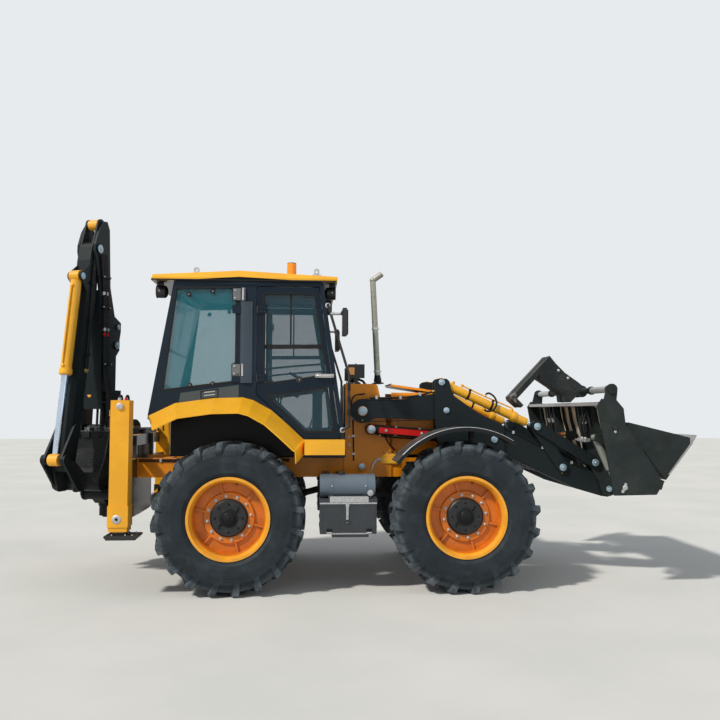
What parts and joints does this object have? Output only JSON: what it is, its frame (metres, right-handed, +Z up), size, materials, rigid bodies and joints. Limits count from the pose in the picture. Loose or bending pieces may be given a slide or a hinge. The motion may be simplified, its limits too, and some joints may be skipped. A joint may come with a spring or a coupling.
{
  "type": "backhoe loader",
  "caption": "Backhoe loader with equal steered wheels, glazed cab, loader arms with a clam bucket and folding forks, stabilizer legs and a side-shift digging arm folded behind.",
  "frame": {"origin": "middle of the overall length and width, on the ground under the tyres", "axes": "+X forward towards the loader bucket, +Y to the machine's left, +Z up"},
  "size_m": [6.2987, 2.378, 3.717],
  "materials": {
    "yellow_paint": "gloss yellow paint",
    "orange_paint": "gloss orange-yellow paint",
    "charcoal_paint": "satin charcoal paint",
    "black_paint": "satin black paint",
    "slate_paint": "blue-grey metallic paint",
    "tyre_rubber": "grey-black rubber",
    "rod_chrome": "polished chrome",
    "steel": "stainless steel",
    "window_glass": "green tinted glass",
    "lamp_plastic": "clear and amber lamp plastic",
    "black_plastic": "black plastic",
    "seat_fabric": "dark woven cloth",
    "cast_black": "painted casting"
  },
  "bodies": {
    "machine": {"chassis_frame": "orange_paint", "rear_frame": "yellow_paint", "engine_block": "cast_black", "axles": "cast_black", "cab_frame": "slate_paint", "cab_roof": "yellow_paint", "cab_glass": "window_glass", "fenders": "yellow_paint", "operator_station": "black_plastic", "seat_cushions": "seat_fabric", "side_boxes": "charcoal_paint", "exhaust": "steel", "lamps": "lamp_plastic", "mirrors": "black_plastic"},
    "bonnet": {"bonnet": "orange_paint", "grille": "black_plastic"},
    "loader_arms": {"loader_arms": "charcoal_paint"},
    "lift_barrels": {"lift_cylinders": "black_paint"},
    "lift_rods": {"lift_rods": "rod_chrome"},
    "tilt_barrels": {"tilt_cylinders": "yellow_paint"},
    "tilt_rods": {"tilt_rods": "rod_chrome"},
    "bucket_levers": {"bucket_levers": "charcoal_paint"},
    "bucket_links": {"bucket_links": "charcoal_paint"},
    "loader_bucket": {"bucket_back": "charcoal_paint", "clam_cylinders": "black_paint"},
    "bucket_clam": {"bucket_clam": "charcoal_paint"},
    "pallet_forks": {"pallet_forks": "charcoal_paint"},
    "carriage": {"carriage": "black_paint"},
    "kingpost": {"kingpost": "cast_black"},
    "boom": {"boom": "charcoal_paint"},
    "dipper": {"dipper": "charcoal_paint"},
    "digging_bucket": {"digging_bucket": "charcoal_paint"},
    "tipping_links": {"tipping_links": "charcoal_paint"},
    "bucket_link": {"bucket_link": "charcoal_paint"},
    "boom_barrel": {"boom_cylinder": "black_paint"},
    "boom_rod": {"boom_rod": "rod_chrome"},
    "dipper_barrel": {"dipper_cylinder": "yellow_paint"},
    "dipper_rod": {"dipper_rod": "rod_chrome"},
    "bucket_barrel": {"bucket_cylinder": "yellow_paint"},
    "bucket_rod": {"bucket_rod": "rod_chrome"},
    "door_left": {"door_left": "slate_paint", "door_glass_left": "window_glass"},
    "stabilizer_left": {"stabilizer_leg_left": "yellow_paint"},
    "knuckle_front_left": {"knuckle_front_left": "cast_black", "mudguard_left": "black_plastic"},
    "wheel_front_left": {"tyre_front_left": "tyre_rubber", "rim_front_left": "orange_paint"},
    "knuckle_rear_left": {"knuckle_rear_left": "cast_black"},
    "wheel_rear_left": {"tyre_rear_left": "tyre_rubber", "rim_rear_left": "orange_paint"},
    "door_right": {"door_right": "slate_paint", "door_glass_right": "window_glass"},
    "stabilizer_right": {"stabilizer_leg_right": "yellow_paint"},
    "knuckle_front_right": {"knuckle_front_right": "cast_black", "mudguard_right": "black_plastic"},
    "wheel_front_right": {"tyre_front_right": "tyre_rubber", "rim_front_right": "orange_paint"},
    "knuckle_rear_right": {"knuckle_rear_right": "cast_black"},
    "wheel_rear_right": {"tyre_rear_right": "tyre_rubber", "rim_rear_right": "orange_paint"}
  },
  "joints": [
    {"name": "front_steer", "type": "hinge", "parent": "machine", "child": "knuckle_front_left", "pos_m": [0.9444, 0.74, 0.702], "axis": [0, 0, 1], "range_deg": [-18, 18]},
    {"name": "front_steer_right", "type": "hinge", "parent": "machine", "child": "knuckle_front_right", "pos_m": [0.9444, -0.74, 0.702], "axis": [0, 0, 1], "range_deg": [-19, 19]},
    {"name": "wheel_front_left_spin", "type": "hinge", "parent": "knuckle_front_left", "child": "wheel_front_left", "pos_m": [0.9444, 0.945, 0.702], "axis": [0, 1, 0], "continuous": true},
    {"name": "wheel_front_right_spin", "type": "hinge", "parent": "knuckle_front_right", "child": "wheel_front_right", "pos_m": [0.9444, -0.945, 0.702], "axis": [0, 1, 0], "continuous": true},
    {"name": "rear_steer", "type": "hinge", "parent": "machine", "child": "knuckle_rear_left", "pos_m": [-1.2456, 0.74, 0.702], "axis": [0, 0, -1], "range_deg": [-18, 18]},
    {"name": "rear_steer_right", "type": "hinge", "parent": "machine", "child": "knuckle_rear_right", "pos_m": [-1.2456, -0.74, 0.702], "axis": [0, 0, -1], "range_deg": [-19, 19]},
    {"name": "wheel_rear_left_spin", "type": "hinge", "parent": "knuckle_rear_left", "child": "wheel_rear_left", "pos_m": [-1.2456, 0.945, 0.702], "axis": [0, 1, 0], "continuous": true},
    {"name": "wheel_rear_right_spin", "type": "hinge", "parent": "knuckle_rear_right", "child": "wheel_rear_right", "pos_m": [-1.2456, -0.945, 0.702], "axis": [0, 1, 0], "continuous": true},
    {"name": "loader_lift", "type": "hinge", "parent": "machine", "child": "loader_arms", "pos_m": [0.0194, 0, 1.684], "axis": [0, -1, 0], "range_deg": [-15.5, 58]},
    {"name": "lift_cylinder_swing", "type": "hinge", "parent": "machine", "child": "lift_barrels", "pos_m": [0.1054, 0, 1.5], "axis": [0, -1, 0], "range_deg": [-16.76, 59.97]},
    {"name": "lift_rod_stroke", "type": "slide", "parent": "lift_barrels", "child": "lift_rods", "axis": [0.9968, 0, -0.0801], "range_m": [-0.0614, 0.2022]},
    {"name": "bucket_tilt", "type": "hinge", "parent": "loader_arms", "child": "loader_bucket", "pos_m": [2.5204, 0, 0.901], "axis": [0, 1, 0], "range_deg": [0, 95]},
    {"name": "lever_swing", "type": "hinge", "parent": "loader_arms", "child": "bucket_levers", "pos_m": [2.0484, 0, 1.118], "axis": [0, 1, 0], "range_deg": [-1, 69.07]},
    {"name": "link_swing", "type": "hinge", "parent": "bucket_levers", "child": "bucket_links", "pos_m": [1.7824, 0, 1.53], "axis": [0, -1, 0], "range_deg": [-1, 55.42]},
    {"name": "tilt_cylinder_swing", "type": "hinge", "parent": "loader_arms", "child": "tilt_barrels", "pos_m": [0.8164, 0, 1.973], "axis": [0, -1, 0], "range_deg": [-1, 11.64]},
    {"name": "tilt_rod_stroke", "type": "slide", "parent": "tilt_barrels", "child": "tilt_rods", "axis": [0.909, 0, -0.4168], "range_m": [-0.01, 0.5029]},
    {"name": "clam_open", "type": "hinge", "parent": "loader_bucket", "child": "bucket_clam", "pos_m": [2.3444, 0, 1.535], "axis": [0, -1, 0], "range_deg": [0, 60]},
    {"name": "fork_flip", "type": "hinge", "parent": "loader_bucket", "child": "pallet_forks", "pos_m": [2.3244, 0, 1.892], "axis": [0, -1, 0], "range_deg": [-180, 0]},
    {"name": "stabilizer_left_stroke", "type": "slide", "parent": "machine", "child": "stabilizer_left", "axis": [0, 0, -1], "range_m": [0, 0.52]},
    {"name": "door_left_swing", "type": "hinge", "parent": "machine", "child": "door_left", "pos_m": [-1.0206, 0.8, 2], "axis": [0, 0, 1], "range_deg": [0, 50]},
    {"name": "stabilizer_right_stroke", "type": "slide", "parent": "machine", "child": "stabilizer_right", "axis": [0, 0, -1], "range_m": [0, 0.52]},
    {"name": "door_right_swing", "type": "hinge", "parent": "machine", "child": "door_right", "pos_m": [-1.0206, -0.8, 2], "axis": [0, 0, -1], "range_deg": [0, 50]},
    {"name": "bonnet_lift", "type": "hinge", "parent": "machine", "child": "bonnet", "pos_m": [1.5044, 0, 1.215], "axis": [0, 1, 0], "range_deg": [0, 30]},
    {"name": "side_shift", "type": "slide", "parent": "machine", "child": "carriage", "axis": [0, -1, 0], "range_m": [-0.25, 0.9]},
    {"name": "slew", "type": "hinge", "parent": "carriage", "child": "kingpost", "pos_m": [-2.6906, 0.35, 0], "axis": [0, 0, -1], "range_deg": [-20, 160]},
    {"name": "boom_lift", "type": "hinge", "parent": "kingpost", "child": "boom", "pos_m": [-2.7419, 0.20905, 0.8], "axis": [0.9397, -0.342, 0], "range_deg": [0, 105]},
    {"name": "boom_cylinder_swing", "type": "hinge", "parent": "kingpost", "child": "boom_barrel", "pos_m": [-2.71112, 0.29362, 1.33], "axis": [0.9397, -0.342, 0], "range_deg": [-1, 124.12]},
    {"name": "boom_rod_stroke", "type": "slide", "parent": "boom_barrel", "child": "boom_rod", "axis": [0, 0, 1], "range_m": [-0.01, 0.7354]},
    {"name": "dipper_swing", "type": "hinge", "parent": "boom", "child": "dipper", "pos_m": [-2.82741, -0.02588, 3.38], "axis": [-0.9397, 0.342, 0], "range_deg": [0, 105]},
    {"name": "dipper_cylinder_swing", "type": "hinge", "parent": "boom", "child": "dipper_barrel", "pos_m": [-2.70428, 0.31241, 2.59], "axis": [-0.9397, 0.342, 0], "range_deg": [-1, 12.25]},
    {"name": "dipper_rod_stroke", "type": "slide", "parent": "dipper_barrel", "child": "dipper_rod", "axis": [-0.0899, -0.2469, 0.9649], "range_m": [-0.439, 0.01]},
    {"name": "digging_bucket_curl", "type": "hinge", "parent": "dipper", "child": "digging_bucket", "pos_m": [-2.94198, -0.34067, 1.13], "axis": [-0.9397, 0.342, 0], "range_deg": [0, 160]},
    {"name": "tipping_link_swing", "type": "hinge", "parent": "dipper", "child": "tipping_links", "pos_m": [-2.93001, -0.30778, 1.5], "axis": [-0.9397, 0.342, 0], "range_deg": [-1, 84.25]},
    {"name": "bucket_link_swing", "type": "hinge", "parent": "tipping_links", "child": "bucket_link", "pos_m": [-2.99158, -0.47693, 1.2], "axis": [-0.9397, 0.342, 0], "range_deg": [-62.63, 1]},
    {"name": "bucket_cylinder_swing", "type": "hinge", "parent": "dipper", "child": "bucket_barrel", "pos_m": [-2.90265, -0.23261, 3.06], "axis": [-0.9397, 0.342, 0], "range_deg": [-1, 10.55]},
    {"name": "bucket_rod_stroke", "type": "slide", "parent": "bucket_barrel", "child": "bucket_rod", "axis": [-0.0473, -0.1301, -0.9904], "range_m": [-0.3877, 0.01]}
  ],
  "couplings": [
    {"joint": "front_steer_right", "follows": "front_steer", "ratio": 1},
    {"joint": "rear_steer_right", "follows": "rear_steer", "ratio": 1},
    {"joint": "lift_cylinder_swing", "follows": "loader_lift", "ratio": 1.0167},
    {"joint": "lift_rod_stroke", "follows": "loader_lift", "m_per_rad": 0.18982},
    {"joint": "lever_swing", "follows": "bucket_tilt", "ratio": 0.71652},
    {"joint": "link_swing", "follows": "bucket_tilt", "ratio": 0.57285},
    {"joint": "tilt_cylinder_swing", "follows": "bucket_tilt", "ratio": 0.112},
    {"joint": "tilt_rod_stroke", "follows": "bucket_tilt", "m_per_rad": 0.29725},
    {"joint": "boom_cylinder_swing", "follows": "boom_lift", "ratio": 1.1726},
    {"joint": "boom_rod_stroke", "follows": "boom_lift", "m_per_rad": 0.39583},
    {"joint": "dipper_cylinder_swing", "follows": "dipper_swing", "ratio": 0.10714},
    {"joint": "dipper_rod_stroke", "follows": "dipper_swing", "m_per_rad": -0.23412},
    {"joint": "tipping_link_swing", "follows": "digging_bucket_curl", "ratio": 0.52028},
    {"joint": "bucket_link_swing", "follows": "digging_bucket_curl", "ratio": -0.38519},
    {"joint": "bucket_cylinder_swing", "follows": "digging_bucket_curl", "ratio": 0.05968},
    {"joint": "bucket_rod_stroke", "follows": "digging_bucket_curl", "m_per_rad": -0.13524}
  ]
}
